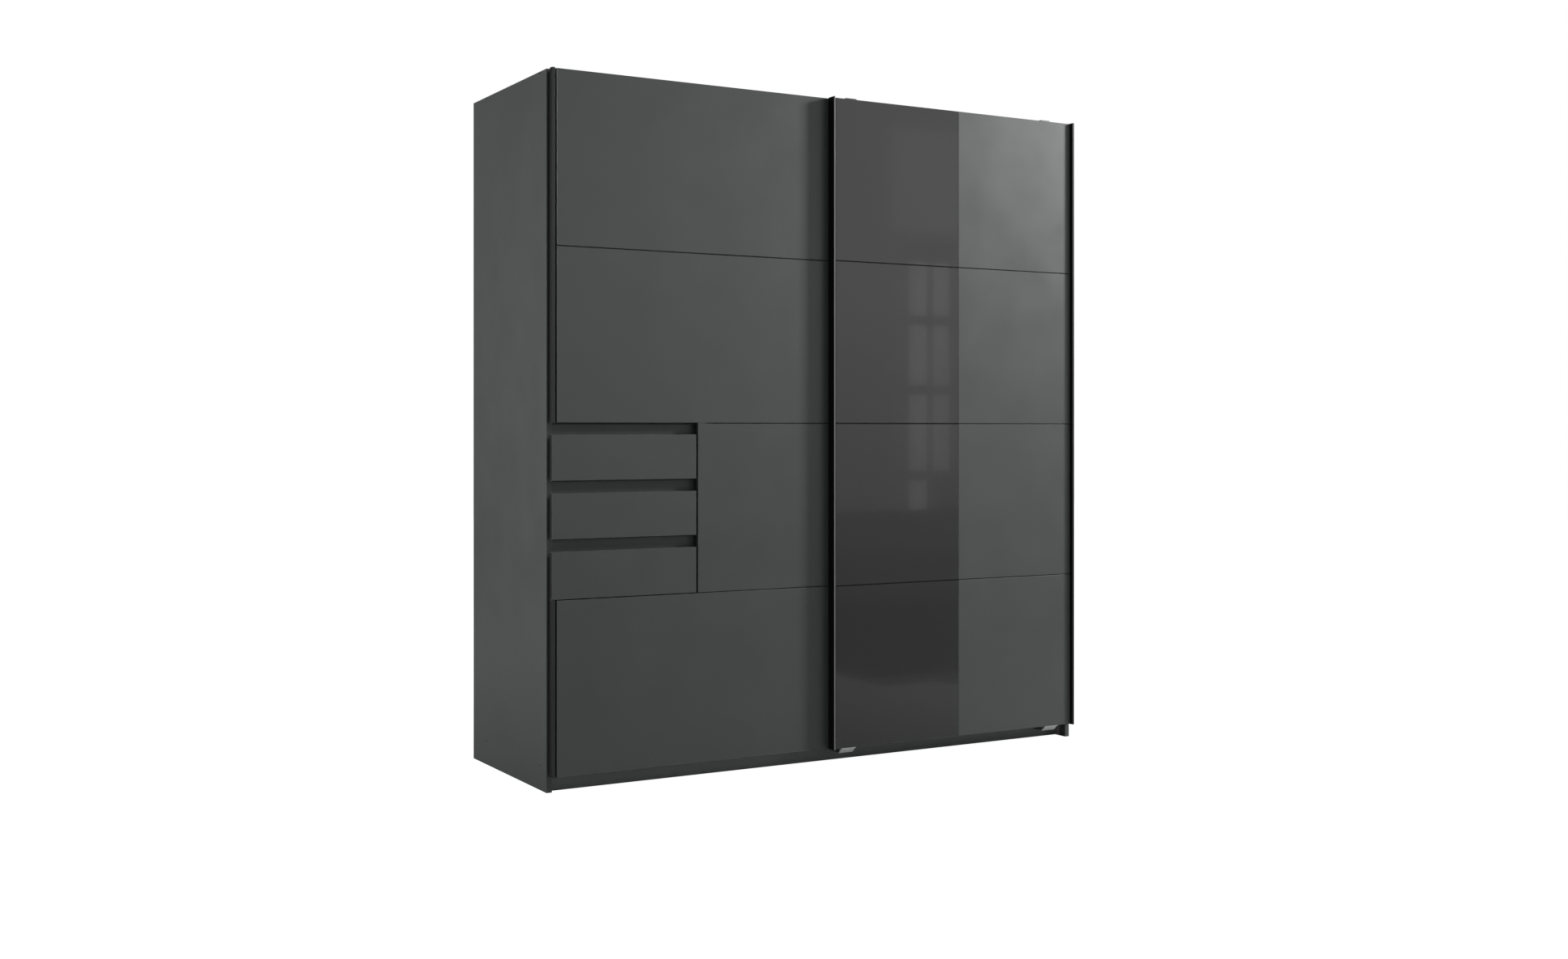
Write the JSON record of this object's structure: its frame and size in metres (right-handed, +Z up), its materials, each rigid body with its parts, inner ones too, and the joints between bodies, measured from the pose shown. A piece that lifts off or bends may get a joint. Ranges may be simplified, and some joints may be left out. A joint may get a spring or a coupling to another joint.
{
  "type": "sliding door wardrobe",
  "caption": "Wardrobe with overlapping sliding doors on a top track, a glass-faced door half, and drawers set into a notch of the rear door.",
  "frame": {"origin": "centre of the footprint's bounding box at floor level", "axes": "+Z up, +X to the right seen from the front, +Y towards the wall behind"},
  "size_m": [1.8, 0.64, 1.986],
  "materials": {
    "graphite_board": "matte graphite melamine on chipboard",
    "inner_board": "linen-look melamine on chipboard",
    "back_board": "lacquered thin fibreboard",
    "edge_profile": "dark graphite coated profile",
    "glass": "glossy, back-painted graphite",
    "track_aluminium": "mill finish extrusion",
    "guide_plastic": "dark moulded rail",
    "clothes_rail_steel": "bright plated tube",
    "runner_steel": "white stove enamel",
    "zinc_steel": "zinc-plated sheet",
    "wheel_plastic": "natural nylon"
  },
  "bodies": {
    "carcass": {"left_side_panel": "graphite_board", "right_side_panel": "graphite_board", "right_filler_strip": "graphite_board", "top_panel": "inner_board", "bottom_panel": "inner_board", "plinth": "graphite_board", "back_panel": "back_board", "centre_partition": "inner_board", "top_track": "track_aluminium", "bottom_guide_rail": "guide_plastic", "unit_bottom_shelf": "inner_board", "unit_top_shelf": "inner_board", "unit_divider": "inner_board", "grip_rail_1": "graphite_board", "grip_rail_2": "graphite_board", "grip_rail_3": "graphite_board", "runner_rack_left": "runner_steel", "runner_rack_right": "runner_steel", "shelf_left": "inner_board", "shelf_right": "inner_board", "clothes_rail_left": "clothes_rail_steel", "clothes_rail_right": "clothes_rail_steel"},
    "left_door": {"left_door_board_1": "graphite_board", "left_door_board_2": "graphite_board", "left_door_board_3": "graphite_board", "left_door_board_4": "graphite_board", "left_door_profile_upper": "edge_profile", "left_door_profile_lower": "edge_profile", "left_door_profile_right": "edge_profile", "left_door_hanger_left": "zinc_steel", "left_door_hanger_right": "zinc_steel", "left_door_guide_left": "zinc_steel", "left_door_guide_right": "zinc_steel"},
    "right_door": {"right_door_board_1": "graphite_board", "right_door_board_2": "graphite_board", "right_door_board_3": "graphite_board", "right_door_board_4": "graphite_board", "right_door_profile_left": "edge_profile", "right_door_handle_profile": "edge_profile", "right_door_glass_1": "glass", "right_door_glass_2": "glass", "right_door_glass_3": "glass", "right_door_glass_4": "glass", "right_door_hanger_left": "zinc_steel", "right_door_hanger_right": "zinc_steel", "right_door_bracket_left": "zinc_steel", "right_door_bracket_right": "zinc_steel"},
    "drawer_1": {"drawer_1_front": "graphite_board", "drawer_1_wrap": "inner_board", "drawer_1_bottom": "back_board"},
    "drawer_2": {"drawer_2_front": "graphite_board", "drawer_2_wrap": "inner_board", "drawer_2_bottom": "back_board"},
    "drawer_3": {"drawer_3_front": "graphite_board", "drawer_3_wrap": "inner_board", "drawer_3_bottom": "back_board"},
    "left_door_wheel_left": {"left_door_wheel_left": "wheel_plastic"},
    "left_door_wheel_right": {"left_door_wheel_right": "wheel_plastic"},
    "right_door_wheel_left": {"right_door_wheel_left": "wheel_plastic"},
    "right_door_wheel_right": {"right_door_wheel_right": "wheel_plastic"}
  },
  "joints": [
    {"name": "left_door_slide", "type": "slide", "parent": "carcass", "child": "left_door", "axis": [1, 0, 0], "range_m": [0, 0.87]},
    {"name": "right_door_slide", "type": "slide", "parent": "carcass", "child": "right_door", "axis": [1, 0, 0], "range_m": [-0.88, 0]},
    {"name": "drawer_1_slide", "type": "slide", "parent": "carcass", "child": "drawer_1", "axis": [0, -1, 0], "range_m": [0, 0.35]},
    {"name": "drawer_2_slide", "type": "slide", "parent": "carcass", "child": "drawer_2", "axis": [0, -1, 0], "range_m": [0, 0.35]},
    {"name": "drawer_3_slide", "type": "slide", "parent": "carcass", "child": "drawer_3", "axis": [0, -1, 0], "range_m": [0, 0.35]},
    {"name": "left_door_wheel_left_spin", "type": "hinge", "parent": "left_door", "child": "left_door_wheel_left", "pos_m": [-0.8155, -0.255, 1.9543], "axis": [0, 1, 0], "range_deg": [0, 4160]},
    {"name": "left_door_wheel_right_spin", "type": "hinge", "parent": "left_door", "child": "left_door_wheel_right", "pos_m": [-0.0675, -0.255, 1.9543], "axis": [0, 1, 0], "range_deg": [0, 4160]},
    {"name": "right_door_wheel_left_spin", "type": "hinge", "parent": "right_door", "child": "right_door_wheel_left", "pos_m": [0.0655, -0.232, 1.9543], "axis": [0, 1, 0], "range_deg": [-4210, 0]},
    {"name": "right_door_wheel_right_spin", "type": "hinge", "parent": "right_door", "child": "right_door_wheel_right", "pos_m": [0.8015, -0.232, 1.9543], "axis": [0, 1, 0], "range_deg": [-4210, 0]}
  ],
  "couplings": [
    {"joint": "left_door_wheel_left_spin", "follows": "left_door_slide", "rad_per_m": 83.333},
    {"joint": "left_door_wheel_right_spin", "follows": "left_door_slide", "rad_per_m": 83.333},
    {"joint": "right_door_wheel_left_spin", "follows": "right_door_slide", "rad_per_m": 83.333},
    {"joint": "right_door_wheel_right_spin", "follows": "right_door_slide", "rad_per_m": 83.333}
  ]
}
